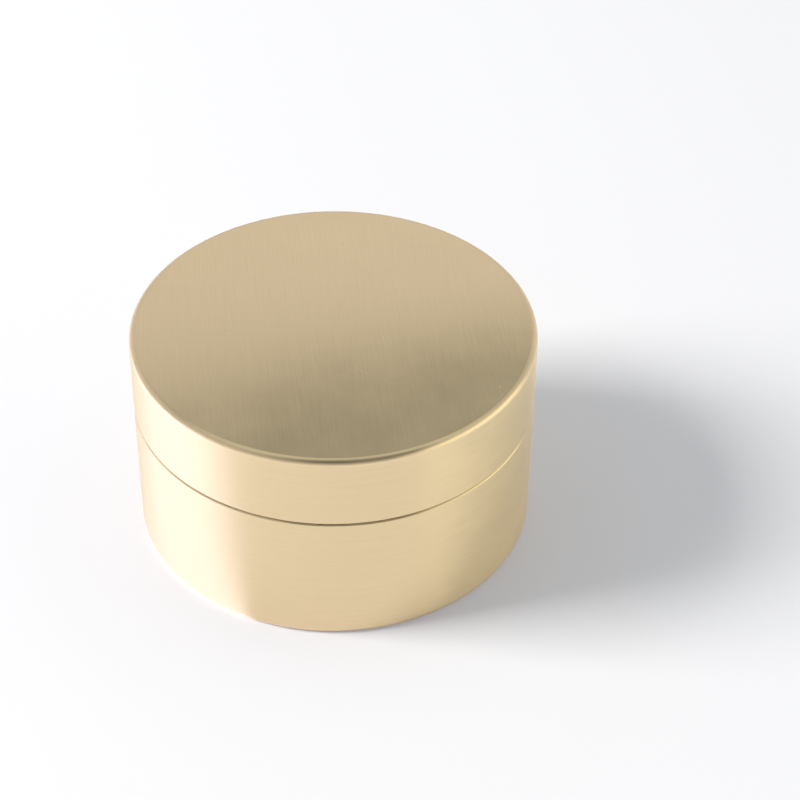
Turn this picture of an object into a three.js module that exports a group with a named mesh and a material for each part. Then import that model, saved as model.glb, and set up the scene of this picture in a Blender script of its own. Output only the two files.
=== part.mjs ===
// Round screw-top pill case in turned brass: a cup, a screw lid, a seal ring on the cup's neck and
// a soft liner in the lid. Millimetres, +Z up, origin at the middle of the foot, lid closed.
import * as THREE from 'three';

// Outside
const CASE_DIAMETER = 54;
const CUP_HEIGHT = 19.55;
const LID_HEIGHT = 10.5;
const TOP_ROUND = 0.8;
const FOOT_ROUND = 0.8;
const SEAM_CHAMFER = 0.15;

// Walls
const FLOOR_THICKNESS = 2.2;
const LID_TOP_THICKNESS = 2;
const LID_WALL = 1.2;
const NECK_WALL = 1.3;
const FLOOR_FILLET = 1.2;
const MOUTH_ROUND = 0.3;

// Screw closure
const SEAM_GAP = 0.05;
const BORE_CLEARANCE = 0.15;
const THREAD_DEPTH = 0.55;
const NECK_CHAMFER = 0.4;
const RIM_LEAD_IN = 0.4;

// Seal ring and its groove: the gland runs from the groove's floor to the lid's bore
const RING_SECTION = 1.2;
const GLAND_DEPTH = 1;
const RING_FIT = 0.05;
const GROOVE_SIDE_GAP = 0.15;
const GROOVE_LEDGE = 0.6;

// Liner and the undercut that keeps it in the lid
const LINER_THICKNESS = 1.2;
const LINER_CHAMFER = 0.15;
const LINER_FLOAT = 0.1;
const LINER_PRESS_GAP = 0.1;
const LINER_FIT = 0.2;
const UNDERCUT_DEPTH = 0.35;
const UNDERCUT_RUN = 0.8;

// Facets of every turned surface, and steps in half of a quarter arc
const TURN_FACETS = 96;
const ARC_STEPS = 2;

// Radii, worked out from the outside inwards
const caseRadius = CASE_DIAMETER / 2;
const boreRadius = caseRadius - LID_WALL;
const collarRadius = boreRadius - BORE_CLEARANCE;
const neckRadius = collarRadius - THREAD_DEPTH;
const cavityRadius = neckRadius - NECK_WALL;
const grooveRadius = boreRadius - GLAND_DEPTH;
const ringRadius = boreRadius - GLAND_DEPTH / 2;
const undercutRadius = boreRadius + UNDERCUT_DEPTH;
const linerRadius = undercutRadius - LINER_FIT;

// The ring's round section as the closed lid squeezes it: flatter across, and longer along Z
const ringHalfAcross = GLAND_DEPTH / 2 - RING_FIT;
const ringHalfAlong = (RING_SECTION / 2) ** 2 / ringHalfAcross;

// Heights, worked out from the foot upwards and from the lid's top downwards
const lidRimZ = CUP_HEIGHT + SEAM_GAP;
const lidTopZ = lidRimZ + LID_HEIGHT;
const ceilingZ = lidTopZ - LID_TOP_THICKNESS;
const linerTopZ = ceilingZ - LINER_FLOAT;
const linerBottomZ = linerTopZ - LINER_THICKNESS;
const neckTopZ = linerBottomZ - LINER_PRESS_GAP;
const undercutZ = linerBottomZ - UNDERCUT_RUN;
const grooveLowZ = CUP_HEIGHT + GROOVE_LEDGE;
const ringZ = grooveLowZ + GROOVE_SIDE_GAP + ringHalfAlong;
const grooveHighZ = ringZ + ringHalfAlong + GROOVE_SIDE_GAP;
const collarTopZ = grooveHighZ + GROOVE_LEDGE;

const QUARTER_TURN = Math.PI / 2;
const HALF_TURN = Math.PI;
const FULL_TURN = 2 * Math.PI;

// A solid of revolution about Z. The outline runs anticlockwise with x as radius and y as height.
function turned(points) {
  const geometry = new THREE.LatheGeometry(points, TURN_FACETS);
  geometry.rotateX(QUARTER_TURN);
  return geometry;
}

// Cup: foot, wall, shoulder, grooved collar, screw neck, rounded mouth, straight bore, filleted floor.
function cupGeometry() {
  const outline = new THREE.Path();
  outline.moveTo(0, 0);
  outline.lineTo(caseRadius - FOOT_ROUND, 0);
  outline.absarc(caseRadius - FOOT_ROUND, FOOT_ROUND, FOOT_ROUND, -QUARTER_TURN, 0);
  outline.lineTo(caseRadius, CUP_HEIGHT - SEAM_CHAMFER);
  outline.lineTo(caseRadius - SEAM_CHAMFER, CUP_HEIGHT);
  outline.lineTo(collarRadius, CUP_HEIGHT);
  outline.lineTo(collarRadius, grooveLowZ);
  outline.lineTo(grooveRadius, grooveLowZ);
  outline.lineTo(grooveRadius, grooveHighZ);
  outline.lineTo(collarRadius, grooveHighZ);
  outline.lineTo(collarRadius, collarTopZ);
  outline.lineTo(neckRadius, collarTopZ + THREAD_DEPTH);
  outline.lineTo(neckRadius, neckTopZ - NECK_CHAMFER);
  outline.lineTo(neckRadius - NECK_CHAMFER, neckTopZ);
  outline.lineTo(cavityRadius + MOUTH_ROUND, neckTopZ);
  outline.absarc(cavityRadius + MOUTH_ROUND, neckTopZ - MOUTH_ROUND, MOUTH_ROUND, QUARTER_TURN, HALF_TURN);
  outline.lineTo(cavityRadius, FLOOR_THICKNESS + FLOOR_FILLET);
  outline.absarc(
    cavityRadius - FLOOR_FILLET, FLOOR_THICKNESS + FLOOR_FILLET, FLOOR_FILLET, 0, -QUARTER_TURN, true,
  );
  outline.lineTo(0, FLOOR_THICKNESS);
  return turned(outline.getPoints(ARC_STEPS));
}

// Lid: ceiling, undercut for the liner, bore, lead-in over the seal ring, rim, wall, rounded top edge.
function lidGeometry() {
  const outline = new THREE.Path();
  outline.moveTo(0, ceilingZ);
  outline.lineTo(undercutRadius, ceilingZ);
  outline.lineTo(undercutRadius, undercutZ);
  outline.lineTo(boreRadius, undercutZ - UNDERCUT_DEPTH);
  outline.lineTo(boreRadius, lidRimZ + RIM_LEAD_IN);
  outline.lineTo(boreRadius + RIM_LEAD_IN, lidRimZ);
  outline.lineTo(caseRadius - SEAM_CHAMFER, lidRimZ);
  outline.lineTo(caseRadius, lidRimZ + SEAM_CHAMFER);
  outline.lineTo(caseRadius, lidTopZ - TOP_ROUND);
  outline.absarc(caseRadius - TOP_ROUND, lidTopZ - TOP_ROUND, TOP_ROUND, 0, QUARTER_TURN);
  outline.lineTo(0, lidTopZ);
  return turned(outline.getPoints(ARC_STEPS));
}

// Seal ring: its squeezed section, in the middle of the gland, as two half ellipses.
function sealRingGeometry() {
  const outline = new THREE.Path();
  outline.absellipse(ringRadius, ringZ, ringHalfAcross, ringHalfAlong, 0, HALF_TURN);
  outline.absellipse(ringRadius, ringZ, ringHalfAcross, ringHalfAlong, HALF_TURN, FULL_TURN);
  return turned(outline.getPoints(2 * ARC_STEPS));
}

// Liner: a soft disc with its edges broken, wider than the bore so that the undercut keeps it.
function linerGeometry() {
  const outline = new THREE.Path();
  outline.moveTo(0, linerBottomZ);
  outline.lineTo(linerRadius - LINER_CHAMFER, linerBottomZ);
  outline.lineTo(linerRadius, linerBottomZ + LINER_CHAMFER);
  outline.lineTo(linerRadius, linerTopZ - LINER_CHAMFER);
  outline.lineTo(linerRadius - LINER_CHAMFER, linerTopZ);
  outline.lineTo(0, linerTopZ);
  return turned(outline.getPoints());
}

function piece(name, geometry, finish) {
  const mesh = new THREE.Mesh(geometry, new THREE.MeshStandardMaterial(finish));
  mesh.name = name;
  return mesh;
}

const BRASS = { color: 0xc9ae7c, roughness: 0.32, metalness: 1 };
const BLACK_SILICONE = { color: 0x1f1f1e, roughness: 0.6, metalness: 0 };
const WHITE_SILICONE = { color: 0xe4e0d6, roughness: 0.55, metalness: 0 };

const pillCase = new THREE.Group();
pillCase.add(
  piece('cup', cupGeometry(), BRASS),
  piece('neck_o_ring', sealRingGeometry(), BLACK_SILICONE),
  piece('lid_liner', linerGeometry(), WHITE_SILICONE),
  piece('screw_lid', lidGeometry(), BRASS),
);

export default pillCase;
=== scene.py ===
"""Looks of a round brass pill case with a screw lid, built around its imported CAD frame. Metres, +Z up."""

import math
from collections import namedtuple

import bpy
import numpy as np
from mathutils import Matrix, Vector


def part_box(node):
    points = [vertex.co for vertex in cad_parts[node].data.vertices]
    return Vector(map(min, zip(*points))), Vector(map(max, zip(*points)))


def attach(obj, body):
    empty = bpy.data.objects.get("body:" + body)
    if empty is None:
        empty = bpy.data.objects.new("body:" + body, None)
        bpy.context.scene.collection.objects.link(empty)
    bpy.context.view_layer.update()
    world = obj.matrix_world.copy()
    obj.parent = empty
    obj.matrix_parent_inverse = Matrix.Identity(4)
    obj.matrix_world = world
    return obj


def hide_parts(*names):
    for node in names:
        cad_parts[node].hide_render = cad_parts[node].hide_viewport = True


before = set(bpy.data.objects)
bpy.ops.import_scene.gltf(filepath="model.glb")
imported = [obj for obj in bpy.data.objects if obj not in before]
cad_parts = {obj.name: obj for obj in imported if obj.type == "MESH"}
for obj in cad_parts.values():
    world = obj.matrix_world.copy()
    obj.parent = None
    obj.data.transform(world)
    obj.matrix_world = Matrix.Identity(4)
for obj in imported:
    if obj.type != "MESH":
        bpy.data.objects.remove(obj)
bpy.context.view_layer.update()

MM = 0.001
FULL_TURN = 2 * math.pi

# Sizes read from the frame
_, cup_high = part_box("cup")
lid_low, lid_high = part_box("screw_lid")
ring_low, ring_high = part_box("neck_o_ring")
liner_low, liner_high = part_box("lid_liner")
CASE_RADIUS = cup_high.x
NECK_TOP = cup_high.z
LID_RIM = lid_low.z
LID_TOP = lid_high.z

# Sizes that the frame's boxes don't give
SHOULDER = 19.55 * MM
FLOOR_THICKNESS = 2.2 * MM
LID_TOP_THICKNESS = 2 * MM
LID_WALL = 1.2 * MM
NECK_WALL = 1.3 * MM
BORE_CLEARANCE = 0.15 * MM
GLAND_DEPTH = 1 * MM
GROOVE_SIDE_GAP = 0.15 * MM
GROOVE_LEDGE = 0.6 * MM
UNDERCUT_DEPTH = 0.35 * MM
UNDERCUT_RUN = 0.8 * MM
NECK_CHAMFER = 0.4 * MM
RIM_LEAD_IN = 0.4 * MM
SEAM_CHAMFER = 0.15 * MM

# How far the visible shoulder lies below the solid one, so that the closed seam shows as a dark line
SEAM_RELIEF = 0.08 * MM

# Rounding of the edges
TOP_ROUND = 0.8 * MM
FOOT_ROUND = 0.8 * MM
MOUTH_ROUND = 0.3 * MM
FLOOR_FILLET = 1.2 * MM
LINER_ROUND = 0.15 * MM
FINE_ROUND = 0.05 * MM

# Three-start right-hand thread: the half widths of a ridge's crest and base are shares of the pitch
THREAD_DEPTH = 0.55 * MM
THREAD_PITCH = 1.5 * MM
THREAD_STARTS = 3
CREST_HALF = 0.15
BASE_HALF = 0.31

# Marks of use on the seals
LINER_DENT = 0.06 * MM
RING_FLASH = 0.02 * MM
RING_FLASH_HALF_WIDTH = 0.1 * MM

# Mesh density
COLUMNS = 384
ARC_STEPS = 8
THREAD_STEP = 0.05 * MM
SUPPORT = 0.04 * MM
RING_POINTS = 48

# Radii and heights worked out from those
bore_radius = CASE_RADIUS - LID_WALL
collar_radius = bore_radius - BORE_CLEARANCE
neck_radius = collar_radius - THREAD_DEPTH
cavity_radius = neck_radius - NECK_WALL
groove_radius = bore_radius - GLAND_DEPTH
undercut_radius = bore_radius + UNDERCUT_DEPTH
liner_radius = liner_high.x
ceiling = LID_TOP - LID_TOP_THICKNESS
undercut_low = liner_low.z - UNDERCUT_RUN
seam_low = SHOULDER - SEAM_RELIEF
groove_low = SHOULDER + GROOVE_LEDGE
groove_high = ring_high.z + GROOVE_SIDE_GAP
collar_top = groove_high + GROOVE_LEDGE

# Finishes of the brass pieces, by material slot
TURNED, POLISHED, HAIRLINE = 0, 1, 2

# A corner of a turned outline: its place and rounding, the finish and the longest step of the straight
# stretch that leaves it, and the finish of its round
Corner = namedtuple("Corner", "radius height rounding finish step round_finish",
                    defaults=(FINE_ROUND, TURNED, None, TURNED))


def stretch(start, end, step):
    """Points from start up to end, end left out, with a support point close to each end."""
    length = math.dist(start, end)
    if step:
        count = max(1, round(length / step))
        shares = [i / count for i in range(count)]
    elif length > 4 * SUPPORT:
        shares = [0, SUPPORT / length, 1 - SUPPORT / length]
    else:
        shares = [0]
    return [(start[0] + s * (end[0] - start[0]), start[1] + s * (end[1] - start[1])) for s in shares]


def arc(before, corner, after):
    """Points of the round that takes the place of a corner, from the first tangent point to the last."""
    place = Vector((corner.radius, corner.height))
    to_before = (Vector(before[:2]) - place).normalized()
    to_after = (Vector(after[:2]) - place).normalized()
    half_angle = to_before.angle(to_after) / 2
    reach = corner.rounding / math.tan(half_angle)
    first = place + to_before * reach
    last = place + to_after * reach
    centre = place + (to_before + to_after).normalized() * corner.rounding / math.sin(half_angle)
    points = []
    for i in range(ARC_STEPS + 1):
        spread = first.lerp(last, i / ARC_STEPS) - centre
        points.append(tuple(centre + spread.normalized() * corner.rounding))
    return points


def outline(corners):
    """Turns corners into points and the finish after each point. The first and last are on the axis."""
    rounds = [[(corners[0].radius, corners[0].height)]]
    for before, corner, after in zip(corners, corners[1:], corners[2:]):
        rounds.append(arc(before, corner, after))
    rounds.append([(corners[-1].radius, corners[-1].height)])
    points, finishes = [], []
    for corner, here, following in zip(corners, rounds, rounds[1:]):
        straight = stretch(here[-1], following[0], corner.step)
        points += here[:-1] + straight
        finishes += [corner.round_finish] * (len(here) - 1) + [corner.finish] * len(straight)
    points.append(rounds[-1][0])
    return points, finishes


def turned(name, points, finishes, materials, swell=None):
    """A closed mesh of revolution. swell changes the radius of points at (radius, height, angle)."""
    closed = points[0] == points[-1]
    rows = np.array(points[:-1] if closed else points)
    angles = np.linspace(0, FULL_TURN, COLUMNS, endpoint=False)
    radius = np.repeat(rows[:, :1], COLUMNS, axis=1)
    height = np.repeat(rows[:, 1:], COLUMNS, axis=1)
    if swell:
        radius = swell(radius, height, angles[None, :])
    grid = np.stack([radius * np.cos(angles), radius * np.sin(angles), height], axis=2)
    first, last = (0, len(rows)) if closed else (1, len(rows) - 1)
    vertices = grid[first:last].reshape(-1, 3).tolist()
    faces, slots = [], []

    def at(row, column):
        return (row - first) % (last - first) * COLUMNS + column % COLUMNS

    for row in range(first, last if closed else last - 1):
        for column in range(COLUMNS):
            beside = column + 1
            faces.append((at(row, column), at(row, beside), at(row + 1, beside), at(row + 1, column)))
            slots.append(finishes[row])
    if not closed:
        start, end = len(vertices), len(vertices) + 1
        vertices += [(0, 0, rows[0][1]), (0, 0, rows[-1][1])]
        for column in range(COLUMNS):
            faces.append((start, at(first, column + 1), at(first, column)))
            slots.append(finishes[0])
            faces.append((end, at(last - 1, column), at(last - 1, column + 1)))
            slots.append(finishes[-1])
    mesh = bpy.data.meshes.new(name)
    mesh.from_pydata(vertices, [], faces)
    for material in materials:
        mesh.materials.append(material)
    mesh.polygons.foreach_set("material_index", slots)
    mesh.polygons.foreach_set("use_smooth", [True] * len(faces))
    mesh.update()
    piece = bpy.data.objects.new(name, mesh)
    bpy.context.scene.collection.objects.link(piece)
    return piece


def ridge(height, angle, offset):
    """Height of a screw ridge, from 0 at the root to 1 on the crest. offset is in pitches."""
    turns = height / THREAD_PITCH - THREAD_STARTS * angle / FULL_TURN + offset
    distance = np.abs(turns - np.round(turns))
    slope = np.clip((BASE_HALF - distance) / (BASE_HALF - CREST_HALF), 0, 1)
    return slope * slope * (3 - 2 * slope)


def neck_thread(radius, height, angle):
    """Ridges round the neck: cut off by the mouth's chamfer, and running out into the collar's step."""
    crest = neck_radius + THREAD_DEPTH * ridge(height, angle, offset=0)
    chamfer = neck_radius - NECK_CHAMFER + NECK_TOP - height
    threaded = (radius > neck_radius - NECK_CHAMFER) & (height > collar_top)
    return np.where(threaded, np.maximum(radius, np.minimum(crest, chamfer)), radius)


def lid_thread(radius, height, angle):
    """Ridges in the lid's bore, half a pitch from the neck's, cut off at both ends."""
    crest = bore_radius - THREAD_DEPTH * ridge(height, angle, offset=0.5)
    low_cut = bore_radius + collar_top - height
    high_cut = bore_radius + height - (undercut_low - UNDERCUT_DEPTH)
    threaded = (radius < undercut_radius) & (height > collar_top) & (height < undercut_low)
    cut = np.maximum(crest, np.maximum(low_cut, high_cut))
    return np.where(threaded, np.minimum(radius, cut), radius)


# Shader nodes


def feed(node, inputs):
    """Sets or links a node's inputs, by their name or number."""
    for key, value in inputs.items():
        if isinstance(value, bpy.types.NodeSocket):
            node.id_data.links.new(value, node.inputs[key])
        else:
            node.inputs[key].default_value = value


def add(tree, kind, inputs, **settings):
    """Adds a shader node with its settings and inputs."""
    node = tree.nodes.new("ShaderNode" + kind)
    for name, value in settings.items():
        setattr(node, name, value)
    feed(node, inputs)
    return node


def reckon(tree, operation, *values):
    return add(tree, "Math", dict(enumerate(values)), operation=operation).outputs[0]


def remap(tree, value, span, ends, interpolation="LINEAR"):
    """Carries a value from one span over to another."""
    inputs = dict(enumerate((value, *span, *ends)))
    return add(tree, "MapRange", inputs, interpolation_type=interpolation).outputs[0]


def mixed(tree, share, low, high):
    return add(tree, "Mix", {0: share, 2: low, 3: high}, data_type="FLOAT").outputs[0]


def noise(tree, place, scale, detail, roughness):
    inputs = {"Vector": place, "Scale": scale, "Detail": detail, "Roughness": roughness}
    return add(tree, "TexNoise", inputs).outputs[0]


def object_place(tree):
    return add(tree, "TexCoord", {}).outputs["Object"]


def shaded(tree, colour, level):
    """A colour made lighter or darker by a factor."""
    grey = add(tree, "CombineColor", {0: level, 1: level, 2: level}).outputs[0]
    inputs = {0: 1.0, 6: colour, 7: grey}
    return add(tree, "Mix", inputs, data_type="RGBA", blend_type="MULTIPLY").outputs[2]


def new_material(name):
    material = bpy.data.materials.new(name)
    material.use_nodes = True
    return material, material.node_tree, material.node_tree.nodes["Principled BSDF"]


# Brass

BRASS = (0.92, 0.725, 0.46, 1)
SATIN_BRASS = (0.935, 0.75, 0.465, 1)
HAIRLINE_LEAN = math.radians(8)
FINE_STREAK = (0.07 * MM, 6 * MM)
COARSE_STREAK = (0.3 * MM, 12 * MM)
FINE_SHARE = 0.65
STREAK_SHADE = (0.93, 1.05)
STREAK_ROUGHNESS = (0.85, 1.15)
CLOUD_SIZE = 11 * MM
CLOUD_SHADE = (0.97, 1.03)
CLOUD_ROUGHNESS = (-0.02, 0.02)
RING_SLANT = 0.7
GRAIN_NOISE_ROUGHNESS = 0.6
GRAIN_SPAN = (0.25, 0.75)
GRAIN_WIDE_SPAN = (0.2, 0.8)
CLOUD_SPAN = (0.3, 0.7)

# Marks of use: sparse dings and hair-thin scratches
DING_SPACING = 3 * MM
DING_RADIUS = 0.14 * MM
DING_FLAT = 0.5
DING_SHARE = 0.4
SCRATCH_SPACING = 9 * MM
SCRATCH_HALF_WIDTH = 0.025 * MM
SCRATCH_SPREAD = (0.56, 0.66)
SCRATCH_STRENGTH = 0.6
MARK_ROUGHNESS = 0.3
MARK_DEPTH = 0.5


def straight_grain(tree, across, along, detail):
    """Noise drawn out along the hairlines: across and along are the streaks' sizes."""
    inputs = {"Vector": object_place(tree), "Rotation": (0, 0, -HAIRLINE_LEAN)}
    leaning = add(tree, "Mapping", inputs).outputs[0]
    drawn = add(tree, "Mapping", {"Vector": leaning, "Scale": (1 / across, 1 / along, 0)}).outputs[0]
    return noise(tree, drawn, 1, detail, GRAIN_NOISE_ROUGHNESS)


def ring_grain(tree, across, along, detail):
    """Noise drawn out round the axis, on walls and on flat faces alike."""
    x, y, z = add(tree, "SeparateXYZ", {0: object_place(tree)}).outputs
    square = reckon(tree, "ADD", reckon(tree, "MULTIPLY", x, x), reckon(tree, "MULTIPLY", y, y))
    radius = reckon(tree, "SQRT", square)
    depth = reckon(tree, "MULTIPLY_ADD", radius, RING_SLANT, z)
    inputs = {0: reckon(tree, "DIVIDE", x, along), 1: reckon(tree, "DIVIDE", y, along),
              2: reckon(tree, "DIVIDE", depth, across)}
    drawn = add(tree, "CombineXYZ", inputs).outputs[0]
    return noise(tree, drawn, 1, detail, GRAIN_NOISE_ROUGHNESS)


def marks(tree):
    """1 in a ding or a scratch, 0 beside it."""
    place = object_place(tree)
    cells = add(tree, "TexVoronoi", {"Vector": place, "Scale": 1 / DING_SPACING})
    radius = DING_RADIUS / DING_SPACING
    ding = remap(tree, cells.outputs["Distance"], (DING_FLAT * radius, radius), (1, 0))
    pick = add(tree, "SeparateColor", {0: cells.outputs["Color"]}).outputs[0]
    kept = reckon(tree, "MULTIPLY", ding, reckon(tree, "LESS_THAN", pick, DING_SHARE))
    inputs = {"Vector": place, "Scale": 1 / SCRATCH_SPACING}
    lines = add(tree, "TexVoronoi", inputs, feature="DISTANCE_TO_EDGE")
    half_width = SCRATCH_HALF_WIDTH / SCRATCH_SPACING
    scratch = remap(tree, lines.outputs["Distance"], (0, half_width), (SCRATCH_STRENGTH, 0))
    patchy = noise(tree, place, scale=1 / SCRATCH_SPACING, detail=2, roughness=0.5)
    patches = remap(tree, patchy, SCRATCH_SPREAD, (0, 1))
    return reckon(tree, "MAXIMUM", kept, reckon(tree, "MULTIPLY", scratch, patches))


def brushed_brass(name, colour, grain, roughness, anisotropy, rotation, tangent_axis, bump):
    """Brass with fine lines: grain makes the noise that moves its colour, roughness and height."""
    material, tree, shader = new_material(name)
    fine = grain(tree, *FINE_STREAK, detail=3)
    coarse = grain(tree, *COARSE_STREAK, detail=2)
    lines = mixed(tree, FINE_SHARE, coarse, fine)
    cloud = noise(tree, object_place(tree), scale=1 / CLOUD_SIZE, detail=4, roughness=0.55)
    worn = marks(tree)
    shade = remap(tree, lines, GRAIN_SPAN, STREAK_SHADE)
    tone = remap(tree, cloud, CLOUD_SPAN, CLOUD_SHADE)
    rough_ends = [roughness * factor for factor in STREAK_ROUGHNESS]
    streaked = remap(tree, lines, GRAIN_WIDE_SPAN, rough_ends)
    smudged = reckon(tree, "ADD", streaked, remap(tree, cloud, CLOUD_SPAN, CLOUD_ROUGHNESS))
    cut = reckon(tree, "MULTIPLY_ADD", worn, -MARK_DEPTH, lines)
    height = add(tree, "Bump", {"Height": cut, "Strength": 1, "Distance": bump})
    tangent = add(tree, "Tangent", {}, direction_type="RADIAL", axis=tangent_axis)
    feed(shader, {
        "Base Color": shaded(tree, colour, reckon(tree, "MULTIPLY", shade, tone)),
        "Roughness": reckon(tree, "MULTIPLY_ADD", worn, MARK_ROUGHNESS, smudged),
        "Normal": height.outputs[0],
        "Tangent": tangent.outputs[0],
        "Metallic": 1,
        "Anisotropic": anisotropy,
        "Anisotropic Rotation": rotation,
    })
    return material


hairline_brass = brushed_brass(
    "hairline_brass", BRASS, straight_grain, roughness=0.12, anisotropy=0.98,
    rotation=-HAIRLINE_LEAN / FULL_TURN, tangent_axis="Y", bump=0.001 * MM)
turned_brass = brushed_brass(
    "turned_brass", SATIN_BRASS, ring_grain, roughness=0.34, anisotropy=0.93,
    rotation=0.25, tangent_axis="Z", bump=0.0015 * MM)
polished_brass = brushed_brass(
    "polished_brass", BRASS, ring_grain, roughness=0.34, anisotropy=0.6,
    rotation=0.25, tangent_axis="Z", bump=0.0005 * MM)
BRASS_FINISHES = [turned_brass, polished_brass, hairline_brass]

# Silicone

BLACK_SILICONE = (0.018, 0.018, 0.019, 1)
WHITE_SILICONE = (0.72, 0.70, 0.64, 1)
SILICONE_IOR = 1.41
SILICONE_CLOUD_SIZE = 3.3 * MM
SILICONE_GRAIN_SIZE = 0.11 * MM
SILICONE_GRAIN_DEPTH = 0.004 * MM
SILICONE_ROUGHNESS_SPREAD = 0.06
SILICONE_GRAIN_STRENGTH = 0.6


def silicone(name, colour, roughness, speckle):
    """Moulded silicone: soft, slightly cloudy, with a fine matt grain."""
    material, tree, shader = new_material(name)
    place = object_place(tree)
    cloud = noise(tree, place, scale=1 / SILICONE_CLOUD_SIZE, detail=4, roughness=0.6)
    grain = noise(tree, place, scale=1 / SILICONE_GRAIN_SIZE, detail=2, roughness=0.5)
    level = remap(tree, cloud, CLOUD_SPAN, (1 - speckle, 1 + speckle))
    rough_ends = (roughness - SILICONE_ROUGHNESS_SPREAD, roughness + SILICONE_ROUGHNESS_SPREAD)
    inputs = {"Height": grain, "Strength": SILICONE_GRAIN_STRENGTH, "Distance": SILICONE_GRAIN_DEPTH}
    height = add(tree, "Bump", inputs)
    feed(shader, {
        "Base Color": shaded(tree, colour, level),
        "Roughness": remap(tree, cloud, CLOUD_SPAN, rough_ends),
        "Normal": height.outputs[0],
        "IOR": SILICONE_IOR,
    })
    return material


black_silicone = silicone("black_silicone", BLACK_SILICONE, roughness=0.5, speckle=0.15)
white_silicone = silicone("white_silicone", WHITE_SILICONE, roughness=0.55, speckle=0.03)

# Pieces


def make_cup():
    """Foot, wall, shoulder, grooved collar, threaded neck, mouth, bore and floor."""
    points, finishes = outline([
        Corner(0, 0),
        Corner(CASE_RADIUS, 0, FOOT_ROUND, TURNED, None, POLISHED),
        Corner(CASE_RADIUS, seam_low - SEAM_CHAMFER),
        Corner(CASE_RADIUS - SEAM_CHAMFER, seam_low),
        Corner(collar_radius, seam_low),
        Corner(collar_radius, groove_low),
        Corner(groove_radius, groove_low),
        Corner(groove_radius, groove_high),
        Corner(collar_radius, groove_high),
        Corner(collar_radius, collar_top, FINE_ROUND, TURNED, THREAD_STEP),
        Corner(neck_radius, collar_top + THREAD_DEPTH, FINE_ROUND, TURNED, THREAD_STEP),
        Corner(neck_radius, NECK_TOP - NECK_CHAMFER),
        Corner(neck_radius - NECK_CHAMFER, NECK_TOP),
        Corner(cavity_radius, NECK_TOP, MOUTH_ROUND, TURNED, None, POLISHED),
        Corner(cavity_radius, FLOOR_THICKNESS, FLOOR_FILLET),
        Corner(0, FLOOR_THICKNESS),
    ])
    cup = turned("turned_cup", points, finishes, BRASS_FINISHES[:HAIRLINE], neck_thread)
    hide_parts("cup")
    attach(cup, "cup")


def make_lid():
    """Ceiling, undercut, threaded bore, plain sealing bore, rim, wall and brushed top."""
    points, finishes = outline([
        Corner(0, ceiling),
        Corner(undercut_radius, ceiling),
        Corner(undercut_radius, undercut_low),
        Corner(bore_radius, undercut_low - UNDERCUT_DEPTH, FINE_ROUND, TURNED, THREAD_STEP),
        Corner(bore_radius, LID_RIM + RIM_LEAD_IN),
        Corner(bore_radius + RIM_LEAD_IN, LID_RIM),
        Corner(CASE_RADIUS - SEAM_CHAMFER, LID_RIM),
        Corner(CASE_RADIUS, LID_RIM + SEAM_CHAMFER),
        Corner(CASE_RADIUS, LID_TOP, TOP_ROUND, HAIRLINE, None, POLISHED),
        Corner(0, LID_TOP),
    ])
    lid = turned("turned_lid", points, finishes, BRASS_FINISHES, lid_thread)
    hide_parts("screw_lid")
    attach(lid, "lid")


def make_seal_ring():
    """Oval section of the squeezed ring, with the fine flash line that its mould leaves."""
    half_along = (ring_high.z - ring_low.z) / 2
    half_across = GLAND_DEPTH / 2 - (bore_radius - ring_high.x)
    middle = ring_high.x - half_across
    points = []
    for i in range(RING_POINTS):
        turn = FULL_TURN * i / RING_POINTS
        across, along = half_across * math.cos(turn), half_along * math.sin(turn)
        flash = RING_FLASH * math.exp(-((along / RING_FLASH_HALF_WIDTH) ** 2))
        points.append((middle + across - math.copysign(flash, across), ring_low.z + half_along + along))
    points.append(points[0])
    ring = turned("seal_ring", points, [0] * RING_POINTS, [black_silicone])
    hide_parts("neck_o_ring")
    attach(ring, "cup")


def make_liner():
    """Soft disc with the shallow ring that the neck's rim has pressed into its underside."""
    low, high = liner_low.z, liner_high.z
    dent_in, dent_out = cavity_radius, neck_radius
    slope = 2 * LINER_DENT
    points, finishes = outline([
        Corner(0, low),
        Corner(dent_in - slope, low),
        Corner(dent_in, low + LINER_DENT),
        Corner(dent_out, low + LINER_DENT),
        Corner(dent_out + slope, low),
        Corner(liner_radius, low, LINER_ROUND),
        Corner(liner_radius, high, LINER_ROUND),
        Corner(0, high),
    ])
    liner = turned("liner_disc", points, finishes, [white_silicone])
    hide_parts("lid_liner")
    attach(liner, "liner")


make_cup()
make_lid()
make_seal_ring()
make_liner()

# Directions


def towards(azimuth, elevation):
    """Direction as seen from the case, in degrees: azimuth 0 is the viewer's side and -90 the left."""
    turn, lift = math.radians(azimuth), math.radians(elevation)
    return Vector((math.cos(lift) * math.sin(turn), -math.cos(lift) * math.cos(turn), math.sin(lift)))


def near(tree, direction, other, edge, level):
    """Rises from 0 to level as the angle between two directions shrinks through two angles."""
    node = add(tree, "VectorMath", {0: direction, 1: other}, operation="DOT_PRODUCT")
    span = [math.cos(math.radians(angle)) for angle in edge]
    return remap(tree, node.outputs["Value"], span, (0, level), "SMOOTHSTEP")


# Floor

FLOOR_HALF = 3.0
FLOOR_DROP = 0.02 * MM
FLOOR_COLOUR = (0.73, 0.715, 0.706, 1)
FLOOR_ROUGHNESS = 0.9
FLOOR_SPECULAR = 0.1

# Light of its own, which lifts the floor towards white where it is seen
FLOOR_LIFT = 0.17
LIFT_COLOUR = (0.62, 0.7, 1, 1)

# Painted highlight: a wedge of the floor on the left that glows in reflections only, for the pale band on
# the brass: its start, its course and, in degrees, how far from the course it begins and is full
PAINTED_SHEEN = 1.12
PAINTED_SHEEN_COLOUR = (0.55, 0.6, 1, 1)
PAINTED_SHEEN_START_SHARE = 0.93
PAINTED_SHEEN_START = towards(-18, 0) * PAINTED_SHEEN_START_SHARE * CASE_RADIUS
PAINTED_SHEEN_COURSE = towards(-98, 0)
PAINTED_SHEEN_EDGE = (42, 2)


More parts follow.
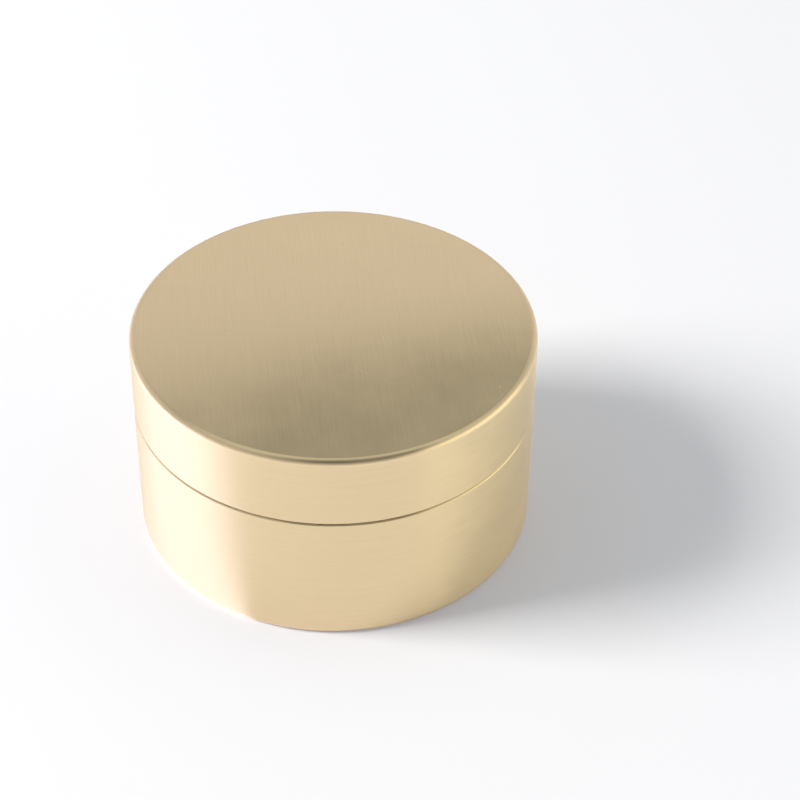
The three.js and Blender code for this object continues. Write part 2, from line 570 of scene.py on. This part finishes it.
def make_floor():
    """Plain white table under the case, lifted towards white, with a painted-highlight wedge seen in
    reflections.
    """
    mesh = bpy.data.meshes.new("floor")
    signs = [(-1, -1), (1, -1), (1, 1), (-1, 1)]
    corners = [(x * FLOOR_HALF, y * FLOOR_HALF, -FLOOR_DROP) for x, y in signs]
    mesh.from_pydata(corners, [], [(0, 1, 2, 3)])
    floor = bpy.data.objects.new("floor", mesh)
    bpy.context.scene.collection.objects.link(floor)
    material, tree, shader = new_material("white_table")
    ray = add(tree, "LightPath", {}).outputs
    mirrored = reckon(tree, "MAXIMUM", ray["Is Glossy Ray"], ray["Is Transmission Ray"])
    seen = reckon(tree, "MAXIMUM", ray["Is Camera Ray"], mirrored)
    inputs = {0: object_place(tree), 1: PAINTED_SHEEN_START}
    offset = add(tree, "VectorMath", inputs, operation="SUBTRACT").outputs[0]
    course = add(tree, "VectorMath", {0: offset}, operation="NORMALIZE").outputs[0]
    # Painted highlight: the wedge glows in glossy and transmission rays only, to light the brass
    painted_sheen = near(tree, course, PAINTED_SHEEN_COURSE, PAINTED_SHEEN_EDGE, PAINTED_SHEEN)
    lift = shaded(tree, LIFT_COLOUR, reckon(tree, "MULTIPLY", seen, FLOOR_LIFT))
    painted_shine = shaded(tree, PAINTED_SHEEN_COLOUR, reckon(tree, "MULTIPLY", mirrored, painted_sheen))
    both = add(tree, "Mix", {0: 1.0, 6: lift, 7: painted_shine}, data_type="RGBA", blend_type="ADD").outputs[2]
    feed(shader, {
        "Base Color": FLOOR_COLOUR,
        "Roughness": FLOOR_ROUGHNESS,
        "Specular IOR Level": FLOOR_SPECULAR,
        "Emission Color": both,
        "Emission Strength": 1,
    })
    mesh.materials.append(material)


make_floor()

# Camera

CAMERA_ELEVATION = math.radians(40.005)
CAMERA_ROLL = math.radians(0.851)
CAMERA_LENS = 97.512
SENSOR_WIDTH = 36
CAMERA_PLACE = Vector((0.32923, -8.34972, 7.65965)) * CASE_RADIUS
CLIP_START = 0.01


def make_camera():
    """Camera at the photograph's viewing angle."""
    camera = bpy.data.objects.new("camera", bpy.data.cameras.new("camera"))
    bpy.context.scene.collection.objects.link(camera)
    camera.data.sensor_width = SENSOR_WIDTH
    camera.data.lens = CAMERA_LENS
    camera.data.clip_start = CLIP_START
    tilt = Matrix.Rotation(math.pi / 2 - CAMERA_ELEVATION, 4, "X")
    roll = Matrix.Rotation(CAMERA_ROLL, 4, "Z")
    camera.matrix_world = Matrix.Translation(CAMERA_PLACE) @ tilt @ roll
    bpy.context.scene.camera = camera


make_camera()

# Light

# A soft light: its place and half sizes in degrees as seen from the case, and whether it is mirrored
Panel = namedtuple("Panel", "name azimuth elevation half_width half_height mirrored colour radiance")
PANEL_DISTANCE = 1.75
WINDOW = Panel("window", azimuth=-85, elevation=35, half_width=11, half_height=13,
               mirrored=False, colour=(1, 1, 1), radiance=22.0)
BOUNCE = Panel("bounce", azimuth=80, elevation=16.5, half_width=32, half_height=16.5,
               mirrored=True, colour=(1, 0.97, 0.62), radiance=0.82)


def make_panel(panel):
    """Soft light that faces the case and fills the given angles as seen from it."""
    lamp = bpy.data.lights.new(panel.name, "AREA")
    lamp.shape = "RECTANGLE"
    lamp.size = 2 * PANEL_DISTANCE * math.tan(math.radians(panel.half_width))
    lamp.size_y = 2 * PANEL_DISTANCE * math.tan(math.radians(panel.half_height))
    lamp.color = panel.colour
    lamp.energy = panel.radiance * math.pi * lamp.size * lamp.size_y
    light = bpy.data.objects.new(panel.name, lamp)
    bpy.context.scene.collection.objects.link(light)
    away = towards(panel.azimuth, panel.elevation)
    light.location = away * PANEL_DISTANCE
    light.rotation_euler = (-away).to_track_quat("-Z", "Y").to_euler()
    light.visible_camera = False
    light.visible_glossy = panel.mirrored


make_panel(WINDOW)
make_panel(BOUNCE)

# Room: levels of its parts, and the angles between which one passes into the next, in degrees.
# A lean is the share by which the wall grows lighter to the back, and the band above it to the right.
WALL = 0.6
WALL_LEAN = 0.2
MIDDLE = 0.353
MIDDLE_LEAN = 0.8
CEILING = 0.7
SPOT = 0.12
WALL_EDGE = (38.1, 38.9)
WALL_TILT = 0.17
CEILING_EDGE = (47, 62)
SPOT_EDGE = (40, 20)
SPOT_PLACE = towards(18, 56)
UPPER_TINT = (0.975, 1.02, 0.965, 1)


def make_world():
    """Soft room: pale walls, a darker band above, a pale ceiling, and a dark spot high in front."""
    world = bpy.data.worlds.new("room")
    world.use_nodes = True
    bpy.context.scene.world = world
    tree = world.node_tree
    direction = add(tree, "TexCoord", {}).outputs["Generated"]
    x, y, z = add(tree, "SeparateXYZ", {0: direction}).outputs

    def above(value, edge):
        """Passes from 0 to 1 as a height goes through the sines of two elevations."""
        span = [math.sin(math.radians(angle)) for angle in edge]
        return remap(tree, value, span, (0, 1), "SMOOTHSTEP")

    tilted = reckon(tree, "MULTIPLY_ADD", x, WALL_TILT, z)
    wall = reckon(tree, "MULTIPLY_ADD", y, WALL * WALL_LEAN, WALL)
    middle = reckon(tree, "MULTIPLY_ADD", x, MIDDLE * MIDDLE_LEAN, MIDDLE)
    upper = above(tilted, WALL_EDGE)
    back = mixed(tree, above(z, CEILING_EDGE), mixed(tree, upper, wall, middle), CEILING)
    lit = mixed(tree, near(tree, direction, SPOT_PLACE, SPOT_EDGE, 1), back, SPOT)
    tint = add(tree, "Mix", {0: upper, 6: (1, 1, 1, 1), 7: UPPER_TINT}, data_type="RGBA").outputs[2]
    feed(tree.nodes["Background"], {"Color": shaded(tree, tint, lit), "Strength": 1})


make_world()

bpy.context.scene.view_settings.view_transform = "Standard"
